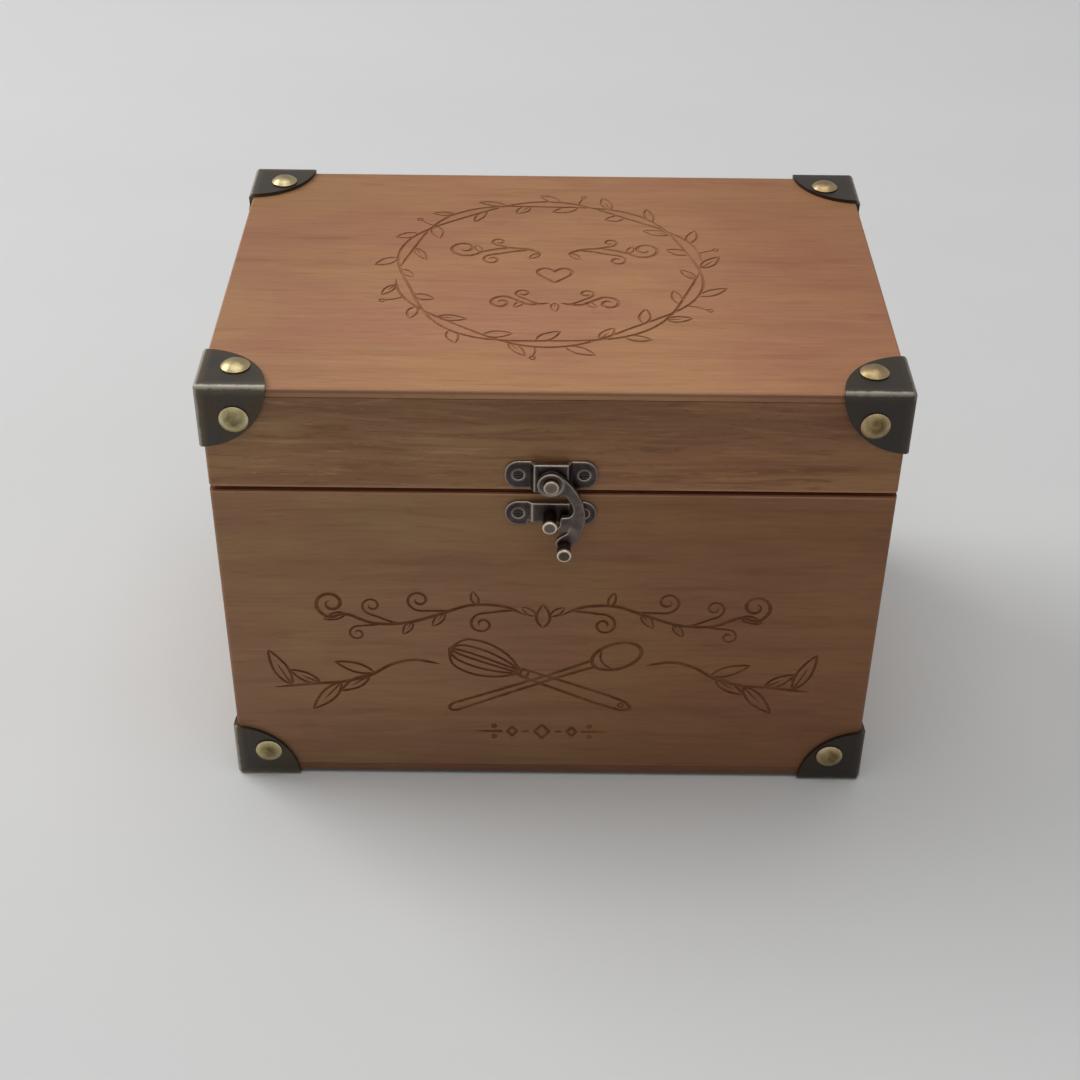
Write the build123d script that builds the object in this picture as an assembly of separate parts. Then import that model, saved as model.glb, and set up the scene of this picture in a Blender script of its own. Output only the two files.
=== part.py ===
from build123d import *
from math import cos, radians, sin
import os

# Hinged wooden recipe card box with metal corner protectors, domed nails, a swing-arm
# latch and two butt hinges. Millimetres. X runs along the front from left to right,
# Y from front to back, Z up. The origin is under the middle of the box's bounding box,
# on the surface that it stands on.

# Wooden carcass
box_width = 200.0  # outside of the boards
box_depth = 138.0
box_height = 146.0  # underside of the bottom panel to the top of the lid
base_height = 111.2  # underside of the bottom panel to the rim of the base
seam_gap = 1.0  # open joint between the rim of the base and the lid
wall = 11.0
bottom_panel = 3.0
top_panel = 3.0
corner_round = 1.5  # the four upright arrises
rim_round = 0.5  # outer arrises at the seam
foot_round = 0.6  # lower arris of the bottom panel
crown_round = 0.8  # upper arris of the top panel
joint_round = 0.3  # arrises of the glued joints between the panels and the boards

# Corner protectors, pressed from sheet
protector_radius = 20.3  # each lobe's arc, from the outer corner
protector_sheet = 1.2
protector_bend = 1.5  # outside radius of the bends
protector_hole = 1.25  # radius

# Domed nails
nail_head_radius = 4.2
nail_head_height = 2.1
nail_rim = 0.35  # straight edge of the head, below its dome
nail_shank_radius = 0.9
nail_margin = 1.4  # from a nail's axis to the inside of the wall
nail_cover = 4.0  # wood left beyond a nail's tip
pilot_clearance = 0.05

# Swing-arm latch, on the middle of the front
latch_x = -0.7
latch_sheet = 1.0
latch_plate_width = 26.8
latch_hole_spacing = 19.0
lid_plate_height = 9.4
lid_plate_margin = 1.25  # from the lid's lower edge up to the plate
lid_plate_rise = 3.0  # front of the raised bridge
lid_bridge_width = 9.9
catch_plate_height = 8.4
catch_plate_margin = 2.4  # from the rim of the base down to the plate
catch_plate_rise = 2.0
catch_bridge_width = 10.9
catch_waist = 1.7  # taken off the lower edge between the ears
bridge_slope = 1.1  # run of each sloping side of a bridge
ear_round = 4.1
ear_flat = 0.05  # half of the least straight edge between two rounded corners of an ear
pivot_fall = 0.95  # from the middle of the lid plate down to the pivot
pivot_radius = 1.2
pivot_head_radius = 2.1
pivot_head_height = 1.4
pivot_tail_radius = 2.2
pivot_tail_height = 0.8
rivet_fit = 0.02
running_fit = 0.05
arm_lift = 0.15  # between the bridge and the back of the arm
arm_thickness = 1.7
arm_ring_radius = 4.0
arm_ring_join = 49.5  # degrees round the ring, from its right, to where the arm's back meets it
arm_rim_width = 0.75
arm_rim_height = 0.3
stud_offset_x = -0.3  # from the pivot
stud_fall = 0.1  # from the middle of the catch plate down to the stud
stud_radius = 2.0
stud_front = 8.4  # from the face of the box
stud_shank_radius = 1.2
stud_tail_radius = 1.9
stud_tail_height = 0.7
knob_drop = 21.8  # from the pivot to the knob's axis
knob_side = 4.0
knob_radius = 2.0
knob_front = 9.6  # from the face of the box
knob_shank_radius = 1.1
tail_radius = 2.2  # end of the arm, round the knob
finger_clearance = 0.25  # beside and below the stud, to the arm's fingertip
finger_step = 1.0  # from the stud's side to the shoulder above the fingertip
shoulder_rise = 0.4  # from the stud's axis up to the shoulder's upper end
shoulder_fall = 1.0  # from the stud's axis down to its lower end
# The rest of the arm's outline, as (side, drop) from the pivot
arm_back = ((5.9, 0.4), (9.0, 6.0), (10.05, 11.5), (9.3, 16.4), (7.8, 19.6))
arm_crook = ((4.3, 3.8), (5.9, 6.6), (6.5, 8.8), (6.2, 10.3), (5.1, 11.3))
arm_lip = (3.3, 11.5)
finger_underside = ((2.2, 16.1), (3.6, 16.8))
arm_notch = (5.6, 15.3)
tail_inside = ((4.9, 16.9), (3.3, 18.2), (1.75, 19.8))
button_round = 0.35  # front arris of the stud, the knob and the rivet

# Butt hinges, on the back
hinge_inset = 38.0  # from the side of the box to the middle of a hinge
hinge_length = 30.0
hinge_leaf = 12.0  # from the pin's axis to the leaf's far edge
hinge_sheet = 0.9
knuckle_radius = 1.9
knuckle_count = 5
knuckle_play = 0.15  # between neighbouring knuckles
leaf_relief = 0.25  # between a leaf's edge and the other leaf's knuckles
hinge_pin_radius = 0.95
hinge_pin_head_radius = 1.5
hinge_pin_head = 0.6
hinge_hole_spacing = 19.0
hinge_hole_drop = 7.2  # from the pin's axis to the holes

# Small countersunk screws of the latch and the hinges
screw_head_radius = 1.6
screw_crown = 0.3
screw_shank_radius = 0.75
screw_depth = 6.0  # into the wood
screw_slot_width = 0.5
screw_slot_depth = 0.35
screw_clearance = 0.05

# Places that follow from the sizes above
back_reach = max(2 * knuckle_radius, protector_sheet + nail_head_height)
front_reach = max(knob_front, stud_front, protector_sheet + nail_head_height)
front = -(box_depth + back_reach - front_reach) / 2
back = front + box_depth
left, right = -box_width / 2, box_width / 2
wood_bottom = protector_sheet
wall_bottom = wood_bottom + bottom_panel
base_rim = wood_bottom + base_height
lid_rim = base_rim + seam_gap
crown = wood_bottom + box_height
ceiling = crown - top_panel
seam_middle = base_rim + seam_gap / 2
rabbet = wall / 2
nail_inset = wall - nail_margin
nail_depth = wall - nail_cover
lid_plate_z = lid_rim + lid_plate_margin + lid_plate_height / 2
catch_plate_z = base_rim - catch_plate_margin - catch_plate_height / 2
pivot_z = lid_plate_z - pivot_fall
stud_z = catch_plate_z - stud_fall
hinge_centres = (left + hinge_inset, right - hinge_inset)

FRONT, BACK = (0, -1, 0), (0, 1, 0)


def block(x0, x1, y0, y1, z0, z1):
    """A box between two opposite corners."""
    middle = Pos((x0 + x1) / 2, (y0 + y1) / 2, (z0 + z1) / 2)
    return middle * Box(x1 - x0, y1 - y0, z1 - z0)


def rod(radius, start, end):
    """A cylinder along local Z between two heights."""
    return Pos(0, 0, (start + end) / 2) * Cylinder(radius, end - start)


def outward(x, y, z, normal):
    """A plane on the outside of the box: local Z points out, local Y points up."""
    nx, ny, nz = normal
    x_dir = (1, 0, 0) if nz else (-ny, nx, 0)
    return Plane(origin=(x, y, z), x_dir=x_dir, z_dir=normal)


def softened(z0, z1, top_round=0.0, bottom_round=0.0):
    """The carcass between two heights, with its upright and horizontal arrises rounded."""
    solid = block(left, right, front, back, z0, z1)
    solid = fillet(solid.edges().filter_by(Axis.Z), corner_round)
    if top_round:
        solid = fillet(solid.faces().sort_by(Axis.Z)[-1].edges(), top_round)
    if bottom_round:
        solid = fillet(solid.faces().sort_by(Axis.Z)[0].edges(), bottom_round)
    return solid


# Nails: the three on each lid corner and the two on each base corner


def nail():
    """A domed nail along local Z, with the underside of its head at zero."""
    with BuildSketch(Plane.XZ) as half_head:
        with BuildLine():
            Polyline((0, nail_head_height), (0, 0), (nail_head_radius, 0), (nail_head_radius, nail_rim))
            RadiusArc(
                (nail_head_radius, nail_rim),
                (0, nail_head_height),
                -dome_radius(nail_head_radius, nail_head_height - nail_rim),
            )
        make_face()
    head = revolve(half_head.sketch, Axis.Z)
    return head + rod(nail_shank_radius, -(protector_sheet + nail_depth), 0)


def dome_radius(half_width, height):
    """The radius of a sphere whose cap has this half width and height."""
    return (half_width**2 + height**2) / (2 * height)


def nail_seats(z_edge, z_side, with_flat_nails):
    """The planes on which the nails of four corners sit, on the protectors' outside."""
    seats = []
    z_nail = z_edge + z_side * nail_inset
    for side in (-1, 1):
        for end in (-1, 1):
            x_face = right if side > 0 else left
            y_face = back if end > 0 else front
            x_nail = x_face - side * nail_inset
            y_nail = y_face - end * nail_inset
            seats.append(outward(x_nail, y_face + end * protector_sheet, z_nail, (0, end, 0)))
            seats.append(outward(x_face + side * protector_sheet, y_nail, z_nail, (side, 0, 0)))
            if with_flat_nails:
                seats.append(outward(x_nail, y_nail, z_edge - z_side * protector_sheet, (0, 0, -z_side)))
    return seats


base_nail_seats = nail_seats(wood_bottom, 1, with_flat_nails=False)
lid_nail_seats = nail_seats(crown, -1, with_flat_nails=True)


def nails(seats):
    return [seat * nail() for seat in seats]


def nail_pilots(seats):
    """The holes that nails leave in the wood."""
    depth = protector_sheet + nail_depth + pilot_clearance
    return [seat * rod(nail_shank_radius + pilot_clearance, -depth, 0) for seat in seats]


# Countersunk screws


def screw(sheet):
    """A countersunk screw along local Z, with the wood's surface at zero."""
    cone = Pos(0, 0, sheet / 2) * Cone(screw_shank_radius, screw_head_radius, sheet)
    crown_sphere = dome_radius(screw_head_radius, screw_crown)
    cap = Pos(0, 0, sheet + screw_crown - crown_sphere) * Sphere(crown_sphere)
    cap &= rod(screw_head_radius, sheet, sheet + screw_crown)
    slot = Pos(0, 0, sheet + screw_crown - screw_slot_depth / 2) * Box(
        2 * screw_head_radius, screw_slot_width, screw_slot_depth
    )
    return cone + cap + rod(screw_shank_radius, -screw_depth, 0) - slot


def screw_hole(sheet):
    """The countersunk hole for it in a plate."""
    small = screw_shank_radius + screw_clearance
    large = screw_head_radius + screw_clearance
    return Pos(0, 0, sheet / 2) * Cone(small, large, sheet)


def screw_pilot():
    return rod(screw_shank_radius + pilot_clearance, -screw_depth - pilot_clearance, 0)


def hole_planes(x, face, z, spacing, normal):
    """The planes of a pair of screws on a face of the box."""
    return [outward(x + side * spacing / 2, face, z, normal) for side in (-1, 1)]


latch_lid_holes = hole_planes(latch_x, front, lid_plate_z, latch_hole_spacing, FRONT)
latch_catch_holes = hole_planes(latch_x, front, catch_plate_z, latch_hole_spacing, FRONT)
hinge_base_holes = []
hinge_lid_holes = []
for hinge_x in hinge_centres:
    hinge_base_holes += hole_planes(hinge_x, back, seam_middle - hinge_hole_drop, hinge_hole_spacing, BACK)
    hinge_lid_holes += hole_planes(hinge_x, back, seam_middle + hinge_hole_drop, hinge_hole_spacing, BACK)


# Boards: front and back run the full width and are rabbeted over the ends of the sides


def long_board(envelope, end):
    """The front (end -1) or back (end 1) board of a rabbeted frame."""
    low, high = envelope.bounding_box().min.Z, envelope.bounding_box().max.Z
    outer = front if end < 0 else back
    inner = outer - end * wall
    shoulder = outer - end * rabbet
    board = block(left, right, min(outer, inner), max(outer, inner), low, high)
    for x0, x1 in ((left, left + wall), (right - wall, right)):
        board -= block(x0, x1, min(shoulder, inner), max(shoulder, inner), low, high)
    return envelope & board


def side_board(envelope, side):
    """The left (side -1) or right (side 1) board, between the rabbets."""
    low, high = envelope.bounding_box().min.Z, envelope.bounding_box().max.Z
    x0, x1 = (left, left + wall) if side < 0 else (right - wall, right)
    return envelope & block(x0, x1, front + rabbet, back - rabbet, low, high)


def drilled(board, pilots):
    """The board less the pilot holes that reach it."""
    extent = board.bounding_box()
    for pilot in pilots:
        reach = pilot.bounding_box()
        apart = (
            reach.min.X > extent.max.X
            or reach.max.X < extent.min.X
            or reach.min.Y > extent.max.Y
            or reach.max.Y < extent.min.Y
            or reach.min.Z > extent.max.Z
            or reach.max.Z < extent.min.Z
        )
        if not apart:
            board -= pilot
    return board


base_envelope = softened(wall_bottom, base_rim, top_round=rim_round, bottom_round=joint_round)
lid_envelope = softened(lid_rim, ceiling, top_round=joint_round, bottom_round=rim_round)
base_pilots = nail_pilots(base_nail_seats) + [
    plane * screw_pilot() for plane in latch_catch_holes + hinge_base_holes
]
lid_pilots = nail_pilots(lid_nail_seats) + [
    plane * screw_pilot() for plane in latch_lid_holes + hinge_lid_holes
]

nodes = {
    "base_front_board": drilled(long_board(base_envelope, -1), base_pilots),
    "base_back_board": drilled(long_board(base_envelope, 1), base_pilots),
    "base_left_board": drilled(side_board(base_envelope, -1), base_pilots),
    "base_right_board": drilled(side_board(base_envelope, 1), base_pilots),
    "base_bottom_panel": softened(wood_bottom, wall_bottom, top_round=joint_round, bottom_round=foot_round),
    "lid_front_rail": drilled(long_board(lid_envelope, -1), lid_pilots),
    "lid_back_rail": drilled(long_board(lid_envelope, 1), lid_pilots),
    "lid_left_rail": drilled(side_board(lid_envelope, -1), lid_pilots),
    "lid_right_rail": drilled(side_board(lid_envelope, 1), lid_pilots),
    "lid_top_panel": drilled(
        softened(ceiling, crown, top_round=crown_round, bottom_round=joint_round), lid_pilots
    ),
    "base_corner_nails": nails(base_nail_seats),
    "lid_corner_nails": nails(lid_nail_seats),
}


# Corner protectors: three quarter-disc lobes bent from one sheet


def cube_corner(offset, radius):
    """A cube that fills a protector from this far inside it, with its three near edges rounded."""
    cube = block(offset, protector_radius, offset, protector_radius, offset, protector_radius)
    near = [edge for edge in cube.edges() if sum(abs(v - offset) < 1e-6 for v in edge @ 0.5) == 2]
    return fillet(near, radius)


def protector():
    """A protector whose outer corner is the origin and whose lobes run along +X, +Y and +Z."""
    quarter = Circle(protector_radius) & Pos(protector_radius / 2, protector_radius / 2) * Rectangle(
        protector_radius, protector_radius
    )
    inset = protector_sheet + nail_inset
    lobe = extrude(quarter - Pos(inset, inset) * Circle(protector_hole), protector_bend)
    lobes = lobe + mirror(Rotation(90, 0, 0) * lobe, Plane.XZ) + mirror(Rotation(0, 90, 0) * lobe, Plane.XY)
    sheet = cube_corner(0, protector_bend) - cube_corner(protector_sheet, protector_bend - protector_sheet)
    return sheet & lobes


corner = protector()
for level, z_face, z_side in (("base", wood_bottom, -1), ("lid", crown, 1)):
    for end_name, end in (("front", -1), ("back", 1)):
        for side_name, side in (("left", -1), ("right", 1)):
            piece = corner
            if side > 0:
                piece = mirror(piece, Plane.YZ)
            if end > 0:
                piece = mirror(piece, Plane.XZ)
            if z_side > 0:
                piece = mirror(piece, Plane.XY)
            x_corner = (right if side > 0 else left) + side * protector_sheet
            y_corner = (back if end > 0 else front) + end * protector_sheet
            z_corner = z_face + z_side * protector_sheet
            nodes[f"{level}_{end_name}_{side_name}_corner"] = Pos(x_corner, y_corner, z_corner) * piece


# Latch


def latch_plate(height, rise, bridge_width, waist=0.0):
    """An eared plate with a raised bridge: local X along the box, Y up, Z out."""
    half_plate = latch_plate_width / 2
    half_top = bridge_width / 2
    half_foot = half_top + bridge_slope
    lean = bridge_slope / 2
    section = Polyline(
        (-half_plate, 0),
        (-half_plate, latch_sheet),
        (-half_foot, latch_sheet),
        (-half_top, rise),
        (half_top, rise),
        (half_foot, latch_sheet),
        (half_plate, latch_sheet),
        (half_plate, 0),
        (half_foot - lean, 0),
        (half_top - lean, rise - latch_sheet),
        (lean - half_top, rise - latch_sheet),
        (lean - half_foot, 0),
        close=True,
    )
    strip = Plane.XZ * make_face(section)
    strip = extrude(strip, height / 2, both=True)
    outline = RectangleRounded(latch_plate_width, height, min(ear_round, height / 2 - ear_flat))
    if waist:
        outline -= Pos(0, -height / 2 + waist / 2) * Rectangle(2 * half_foot, waist)
    plate = strip & extrude(outline, rise)
    for side in (-1, 1):
        plate -= Pos(side * latch_hole_spacing / 2, 0, 0) * screw_hole(latch_sheet)
    return plate


def button(radius, start, end):
    """A turned stub along local Z with a rounded front arris."""
    stub = rod(radius, start, end)
    return fillet(stub.edges().sort_by(Axis.Z)[-1], button_round)


def arm_outline():
    """The arm seen from the front, with the pivot at the origin and Y up."""
    ring = arm_ring_radius
    join_angle = radians(arm_ring_join)
    ring_join = (ring * cos(join_angle), ring * sin(join_angle))
    stud_side = stud_offset_x + stud_radius
    stud_drop = pivot_z - stud_z
    fingertip = (stud_side + finger_clearance, -(stud_drop + stud_radius + finger_clearance))
    shoulder_side = stud_side + finger_step
    shoulder = (
        (shoulder_side, shoulder_rise - stud_drop),
        (shoulder_side, -shoulder_fall - stud_drop),
    )
    crook = below_pivot(*arm_crook)
    (lip,) = below_pivot(arm_lip)
    (notch,) = below_pivot(arm_notch)
    tail_right = (knob_side + tail_radius, -knob_drop)
    tail_end = (knob_side, -knob_drop - tail_radius)
    tail_left = (knob_side - tail_radius, -knob_drop)
    with BuildSketch() as sketch:
        with BuildLine():
            Polyline(ring_join, (0, 0), (0, -ring), crook[0])
            Spline(*crook)
            Line(crook[-1], lip)
            Spline(lip, *shoulder, fingertip)
            Spline(fingertip, *below_pivot(*finger_underside), notch)
            Spline(notch, *below_pivot(*tail_inside), tail_left)
            ThreePointArc(tail_left, tail_end, tail_right)
            Spline(tail_right, *reversed(below_pivot(*arm_back)), ring_join)
        make_face()
    return sketch.sketch + Circle(ring)


def below_pivot(*places):
    """Points of the latch's front view, from places given as (side, drop)."""
    return [(side, -drop) for side, drop in places]


def latch_arm():
    """The arm lies flat; its ring has a raised rim round the pivot."""
    start = lid_plate_rise + arm_lift
    face = start + arm_thickness
    blade = Pos(0, 0, start) * extrude(arm_outline(), arm_thickness)
    rim = Circle(arm_ring_radius) - Circle(arm_ring_radius - arm_rim_width)
    blade += Pos(0, 0, face) * extrude(rim, arm_rim_height)
    blade -= rod(pivot_radius + running_fit, start, face)
    return blade - Pos(knob_side, -knob_drop) * rod(knob_shank_radius + rivet_fit, start, face)


arm_face = lid_plate_rise + arm_lift + arm_thickness
at_lid_plate = outward(latch_x, front, lid_plate_z, FRONT)
at_catch_plate = outward(latch_x, front, catch_plate_z, FRONT)
at_pivot = outward(latch_x, front, pivot_z, FRONT)
at_stud = outward(latch_x + stud_offset_x, front, stud_z, FRONT)
at_knob = at_pivot * Pos(knob_side, -knob_drop)

pivot_back = lid_plate_rise - latch_sheet
pivot_head = arm_face + arm_lift
pivot_rivet = (
    rod(pivot_radius, pivot_back, pivot_head)
    + rod(pivot_tail_radius, pivot_back - pivot_tail_height, pivot_back)
    + button(pivot_head_radius, pivot_head, pivot_head + pivot_head_height)
)
stud_back = catch_plate_rise - latch_sheet
catch_stud = (
    rod(stud_shank_radius, stud_back, catch_plate_rise)
    + rod(stud_tail_radius, stud_back - stud_tail_height, stud_back)
    + button(stud_radius, catch_plate_rise, stud_front)
)
arm_knob = rod(knob_shank_radius, lid_plate_rise + arm_lift, arm_face) + button(knob_radius, arm_face, knob_front)

nodes["latch_lid_plate"] = at_lid_plate * latch_plate(lid_plate_height, lid_plate_rise, lid_bridge_width)
nodes["latch_lid_plate"] -= at_pivot * rod(pivot_radius + rivet_fit, 0, lid_plate_rise)
nodes["latch_catch_plate"] = at_catch_plate * latch_plate(
    catch_plate_height, catch_plate_rise, catch_bridge_width, catch_waist
)
nodes["latch_catch_plate"] -= at_stud * rod(stud_shank_radius + rivet_fit, 0, catch_plate_rise)
nodes["latch_pivot_rivet"] = at_pivot * pivot_rivet
nodes["latch_arm"] = at_pivot * latch_arm()
nodes["latch_arm_knob"] = at_knob * arm_knob
nodes["latch_catch_stud"] = at_stud * catch_stud
nodes["latch_lid_screws"] = [plane * screw(latch_sheet) for plane in latch_lid_holes]
nodes["latch_catch_screws"] = [plane * screw(latch_sheet) for plane in latch_catch_holes]


# Butt hinges


def hinge_leaf_plate(holes_up, own_knuckles, bore):
    """A leaf with its knuckles: local X along the pin, Y up from its axis, Z out of the box."""
    pitch = hinge_length / knuckle_count
    near = knuckle_radius + leaf_relief
    plate = block(-hinge_length / 2, hinge_length / 2, near, hinge_leaf, 0, hinge_sheet)
    for number in own_knuckles:
        x0 = -hinge_length / 2 + number * pitch + knuckle_play / 2
        x1 = x0 + pitch - knuckle_play
        barrel = Pos((x0 + x1) / 2, 0, knuckle_radius) * Rotation(0, 90, 0) * Cylinder(knuckle_radius, x1 - x0)
        plate += block(x0, x1, 0, near, 0, hinge_sheet)
        plate += barrel
    plate -= Pos(0, 0, knuckle_radius) * Rotation(0, 90, 0) * Cylinder(bore, hinge_length)
    for side in (-1, 1):
        plate -= Pos(side * hinge_hole_spacing / 2, hinge_hole_drop) * screw_hole(hinge_sheet)
    return plate if holes_up else mirror(plate, Plane.XZ)


def hinge_pin():
    half = hinge_length / 2
    pin = rod(hinge_pin_radius, -half, half)
    for start, end in ((-half - hinge_pin_head, -half), (half, half + hinge_pin_head)):
        pin += rod(hinge_pin_head_radius, start, end)
    return Pos(0, 0, knuckle_radius) * Rotation(0, 90, 0) * pin


outer_knuckles = range(0, knuckle_count, 2)
inner_knuckles = range(1, knuckle_count, 2)
for name, hinge_x in zip(("left", "right"), hinge_centres):
    at_hinge = outward(hinge_x, back, seam_middle, BACK)
    nodes[f"hinge_{name}_base_leaf"] = at_hinge * hinge_leaf_plate(
        False, outer_knuckles, hinge_pin_radius + rivet_fit
    )
    nodes[f"hinge_{name}_lid_leaf"] = at_hinge * hinge_leaf_plate(
        True, inner_knuckles, hinge_pin_radius + running_fit
    )
    nodes[f"hinge_{name}_pin"] = at_hinge * hinge_pin()
nodes["hinge_base_screws"] = [plane * screw(hinge_sheet) for plane in hinge_base_holes]
nodes["hinge_lid_screws"] = [plane * screw(hinge_sheet) for plane in hinge_lid_holes]

os.makedirs("parts", exist_ok=True)
for name, solids in nodes.items():
    group = solids if isinstance(solids, list) else [solids]
    whole = group[0] if len(group) == 1 else Compound(children=group)
    whole.label = name
    export_step(whole, f"parts/{name}.step")
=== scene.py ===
"""The looks of a wooden recipe card box: engraved boards, bronze corners and a hook latch."""

import random
from math import acos, asin, atan2, copysign, cos, degrees, dist, exp, hypot, pi, radians, sin

import bmesh
import bpy
import numpy as np
from mathutils import Matrix, Vector
from mathutils.geometry import delaunay_2d_cdt
from mathutils.kdtree import KDTree


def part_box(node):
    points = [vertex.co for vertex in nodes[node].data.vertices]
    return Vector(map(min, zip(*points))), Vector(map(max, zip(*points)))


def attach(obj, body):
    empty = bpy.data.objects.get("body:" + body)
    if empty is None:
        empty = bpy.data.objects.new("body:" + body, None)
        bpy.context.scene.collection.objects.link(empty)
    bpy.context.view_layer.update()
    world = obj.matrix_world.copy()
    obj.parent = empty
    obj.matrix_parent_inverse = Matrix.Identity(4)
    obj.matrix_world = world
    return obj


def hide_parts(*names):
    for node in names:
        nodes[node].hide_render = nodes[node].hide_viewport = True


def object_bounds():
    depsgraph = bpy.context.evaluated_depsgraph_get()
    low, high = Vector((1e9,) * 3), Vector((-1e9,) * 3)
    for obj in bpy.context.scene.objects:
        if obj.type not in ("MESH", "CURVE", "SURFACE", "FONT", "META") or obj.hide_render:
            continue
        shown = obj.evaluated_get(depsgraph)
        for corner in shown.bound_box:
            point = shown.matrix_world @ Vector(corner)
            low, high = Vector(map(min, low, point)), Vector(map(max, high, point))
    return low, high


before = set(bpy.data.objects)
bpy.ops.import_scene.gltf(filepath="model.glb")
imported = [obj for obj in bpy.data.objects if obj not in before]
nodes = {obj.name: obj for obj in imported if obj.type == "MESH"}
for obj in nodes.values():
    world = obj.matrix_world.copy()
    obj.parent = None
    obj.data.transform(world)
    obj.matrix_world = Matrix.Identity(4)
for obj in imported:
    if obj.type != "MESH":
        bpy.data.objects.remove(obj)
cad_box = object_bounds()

MM = 0.001
MERGED = 1e-6  # vertices nearer than this many metres are one


# --- strokes: every stroke is a list of (x, y, half width) in millimetres ---

TIP, TAPER = 0.18, 0.82  # a tapered end's width, and what it lacks to the full width of 1
CURL_STEPS = 14  # points in a whole turn of a spiral
RING_STEPS, RING_OVERLAP = 12, 4  # steps in half a ring, and the degrees it runs past each end


def polar(centre, distance, angle):
    """The point at a distance from a centre, towards an angle in radians."""
    return (centre[0] + distance * cos(angle), centre[1] + distance * sin(angle))


def catmull_rom(a, b, c, d, t):
    """One coordinate of the curve through four points, t of the way from b to c."""
    bend = 2 * a - 5 * b + 4 * c - d
    twist = 3 * b - a - 3 * c + d
    return 0.5 * (2 * b + (c - a) * t + bend * t * t + twist * t**3)


def smooth(points, width, ends=(0.0, 0.0), step=0.6):
    """A stroke along a smooth curve through given points, tapered over each end's length."""
    padded = [points[0], *points, points[-1]]
    line = []
    for i in range(1, len(padded) - 2):
        near = padded[i - 1 : i + 3]
        count = max(2, int(dist(near[1], near[2]) / step))
        line += [tuple(catmull_rom(*axis, k / count) for axis in zip(*near)) for k in range(count)]
    line.append(points[-1])
    return tapered(line, width, ends)


def tapered(line, width, ends):
    """Gives a line its half widths: full in the middle, less over each tapered end."""
    travelled = [0.0]
    for a, b in zip(line, line[1:]):
        travelled.append(travelled[-1] + dist(a, b))
    total = travelled[-1]

    def share(distance, reach):
        return min(1.0, TIP + TAPER * distance / reach) if reach else 1.0

    shares = [min(share(s, ends[0]), share(total - s, ends[1])) for s in travelled]
    return [(x, y, width / 2 * full) for (x, y), full in zip(line, shares)]


def curl(centre, radius, start, turns, last_radius):
    """Points of a spiral that winds in from a radius and an angle in degrees; turns may be negative."""
    total = max(6, int(abs(turns) * CURL_STEPS))
    points = []
    for k in range(total + 1):
        t = k / total
        distance = radius + (last_radius - radius) * t**0.8
        points.append(polar(centre, distance, radians(start + 360 * turns * t)))
    return points


def tendril(base, heading, centre, radius, turns, last_radius):
    """Points of a branch that leaves its base along a heading in degrees and bends into a spiral."""
    dx, dy = base[0] - centre[0], base[1] - centre[1]
    swing = copysign(acos(radius / hypot(dx, dy)), turns)
    start = atan2(dy, dx) + swing
    spiral = curl(centre, radius, degrees(start), turns, last_radius)
    reach = 0.4 * dist(base, spiral[0])
    leave = polar(base, reach, radians(heading))
    arrive = polar(spiral[0], -reach, start + copysign(pi / 2, turns))
    handles = (base, leave, arrive, spiral[0])
    lead = []
    for t in (0, 0.25, 0.5, 0.75):
        shares = ((1 - t) ** 3, 3 * t * (1 - t) ** 2, 3 * t * t * (1 - t), t**3)
        lead.append(tuple(sum(f * p[k] for f, p in zip(shares, handles)) for k in (0, 1)))
    return lead + spiral


def leaf(base, angle, length, breadth, width, bend=0.0, rib=True):
    """The outline of a leaf: two bowed sides that meet at its tip, and a short rib."""
    c, s = cos(radians(angle)), sin(radians(angle))

    def at(t, side):
        bow = side * breadth / 2 * sin(pi * t**0.85) + bend * length * t * t
        return (base[0] + c * length * t - s * bow, base[1] + s * length * t + c * bow)

    sides = [[at(t, side) for t in (0, 0.2, 0.45, 0.7, 0.88, 1)] for side in (-1, 1)]
    strokes = [smooth(points, width, (1.5, 1.5)) for points in sides]
    if rib:
        strokes.append(smooth([at(t, 0) for t in (0, 0.3, 0.62)], 0.7 * width, (0, 2.5)))
    return strokes


def plant(stem, width, ends, leaves, tendrils=(), tendril_ends=(0, 0)):
    """A stem with tendrils and leaves; a tendril's row is what tendril() takes, then its width."""
    strokes = [smooth(stem, width, ends)]
    strokes += [smooth(tendril(*shape), thick, tendril_ends) for *shape, thick in tendrils]
    return strokes + [stroke for row in leaves for stroke in leaf(*row)]


def ring(centre, radius, width, squash=1.0):
    """A closed ring as two overlapping halves."""
    halves, (x, y) = [], centre
    for first in (0, 180):
        sweep = 180 + 2 * RING_OVERLAP
        steps = [sweep * k / RING_STEPS for k in range(RING_STEPS + 1)]
        angles = [radians(first - RING_OVERLAP + step) for step in steps]
        points = [(x + radius * cos(a), y + squash * radius * sin(a)) for a in angles]
        halves.append(smooth(points, width))
    return halves


def mirrored(strokes, x):
    """The strokes and their mirror image about an upright line."""
    return strokes + [[(2 * x - px, py, w) for px, py, w in stroke] for stroke in strokes]


def moved(strokes, dx, dy):
    return [[(x + dx, y + dy, w) for x, y, w in stroke] for stroke in strokes]


def turned(strokes, angle, scale):
    c, s = scale * cos(radians(angle)), scale * sin(radians(angle))
    return [[(c * x - s * y, s * x + c * y, scale * w) for x, y, w in stroke] for stroke in strokes]


# --- lid: a leafy wreath round a heart and two flourishes ---

WREATH_CENTRE, WREATH_RADIUS, WREATH_SQUASH = (-1.9, 5), 46.5, 0.97
WREATH_LEAVES = 34
VINE_SWAY = 1.9  # how far each vine swings to either side of the wreath's circle
VINE_WIDTH, LEAF_WIDTH, STALK_WIDTH, BERRY_WIDTH = 0.8, 0.65, 0.55, 0.5
BERRY_RADIUS = 0.8
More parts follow.
